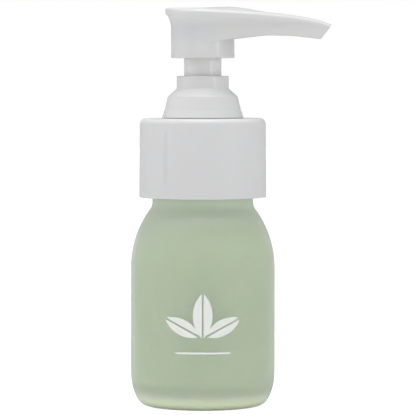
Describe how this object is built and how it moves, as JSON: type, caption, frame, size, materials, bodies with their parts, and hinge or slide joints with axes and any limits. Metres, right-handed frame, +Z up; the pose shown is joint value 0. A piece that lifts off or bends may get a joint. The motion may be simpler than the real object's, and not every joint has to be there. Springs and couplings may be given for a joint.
{
  "type": "toothpaste bottle",
  "caption": "Small round frosted glass bottle of pale gel toothpaste with a smooth screw collar and a press-down pump whose long spout turns.",
  "frame": {"origin": "centre of the bottle's flat base, on the surface that it stands on", "axes": "+Z up along the bottle's axis, +X the way the spout points at rest"},
  "size_m": [0.0543, 0.039, 0.1077],
  "materials": {
    "frosted_glass": "etched, satin outside",
    "gel": "pale green cloudy gel",
    "collar_plastic": "satin white",
    "pump_plastic": "semi-gloss white",
    "housing_plastic": "natural white",
    "piston_plastic": "soft natural",
    "tube_plastic": "milky translucent",
    "gasket": "pale foam",
    "spring_steel": "bright wire",
    "ball_steel": "polished"
  },
  "bodies": {
    "bottle": {"bottle": "frosted_glass", "gel_fill": "gel"},
    "pump": {"housing": "housing_plastic", "chaplet": "pump_plastic", "neck_gasket": "gasket", "dip_tube": "tube_plastic", "spring": "spring_steel"},
    "collar": {"collar": "collar_plastic"},
    "ball": {"inlet_ball": "ball_steel"},
    "plunger": {"piston_seat": "housing_plastic"},
    "piston": {"piston": "piston_plastic"},
    "head": {"head": "pump_plastic", "stem": "pump_plastic"}
  },
  "joints": [
    {"name": "pump_lift", "type": "slide", "parent": "bottle", "child": "pump", "axis": [0, 0, 1], "range_m": [0, 0.0064]},
    {"name": "collar_turn", "type": "hinge", "parent": "pump", "child": "collar", "pos_m": [0, 0, 0.066], "axis": [0, 0, 1], "range_deg": [0, 540]},
    {"name": "head_press", "type": "slide", "parent": "pump", "child": "plunger", "axis": [0, 0, -1], "range_m": [0, 0.008], "stiffness_N_per_m": 400, "springref_m": -0.008, "deforming": ["spring"]},
    {"name": "head_turn", "type": "hinge", "parent": "plunger", "child": "head", "pos_m": [0, 0, 0.1], "axis": [0, 0, 1], "continuous": true},
    {"name": "piston_slip", "type": "slide", "parent": "plunger", "child": "piston", "axis": [0, 0, 1], "range_m": [0, 0.0008]},
    {"name": "ball_lift", "type": "slide", "parent": "pump", "child": "ball", "axis": [0, 0, 1], "range_m": [0, 0.002]}
  ],
  "couplings": [
    {"joint": "pump_lift", "follows": "collar_turn", "m_per_rad": 0.00067323}
  ]
}
